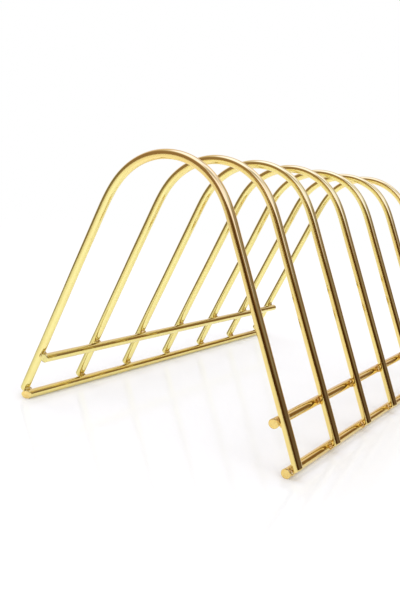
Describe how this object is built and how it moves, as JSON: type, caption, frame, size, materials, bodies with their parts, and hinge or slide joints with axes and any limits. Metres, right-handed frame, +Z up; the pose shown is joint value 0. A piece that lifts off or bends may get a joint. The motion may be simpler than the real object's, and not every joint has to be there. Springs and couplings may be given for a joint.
{
  "type": "toast rack",
  "caption": "Gold wire toast rack: a row of arched wire hoops with slots for toast between them, standing on straight wire rails brazed across their legs.",
  "frame": {"origin": "on the table under the middle of the rack", "axes": "+X across the rack, +Y along the row of hoops, +Z up from the table"},
  "size_m": [0.1106, 0.1844, 0.0911],
  "materials": {
    "gold_wire": "mirror-polished gold-coloured plating on round wire, faint drawing lines along its length",
    "braze": "plated braze beads, slightly rough and lumpy, a little darker than the wire"
  },
  "bodies": {
    "root": {"braze_hoop1_lower_left": "braze", "braze_hoop1_lower_right": "braze", "braze_hoop1_upper_left": "braze", "braze_hoop1_upper_right": "braze", "braze_hoop2_lower_left": "braze", "braze_hoop2_lower_right": "braze", "braze_hoop2_upper_left": "braze", "braze_hoop2_upper_right": "braze", "braze_hoop3_lower_left": "braze", "braze_hoop3_lower_right": "braze", "braze_hoop3_upper_left": "braze", "braze_hoop3_upper_right": "braze", "braze_hoop4_lower_left": "braze", "braze_hoop4_lower_right": "braze", "braze_hoop4_upper_left": "braze", "braze_hoop4_upper_right": "braze", "braze_hoop5_lower_left": "braze", "braze_hoop5_lower_right": "braze", "braze_hoop5_upper_left": "braze", "braze_hoop5_upper_right": "braze", "braze_hoop6_lower_left": "braze", "braze_hoop6_lower_right": "braze", "braze_hoop6_upper_left": "braze", "braze_hoop6_upper_right": "braze", "braze_hoop7_lower_left": "braze", "braze_hoop7_lower_right": "braze", "braze_hoop7_upper_left": "braze", "braze_hoop7_upper_right": "braze", "hoop_1": "gold_wire", "hoop_2": "gold_wire", "hoop_3": "gold_wire", "hoop_4": "gold_wire", "hoop_5": "gold_wire", "hoop_6": "gold_wire", "hoop_7": "gold_wire", "lower_rail_left": "gold_wire", "lower_rail_right": "gold_wire", "upper_rail_left": "gold_wire", "upper_rail_right": "gold_wire"}
  },
  "joints": []
}
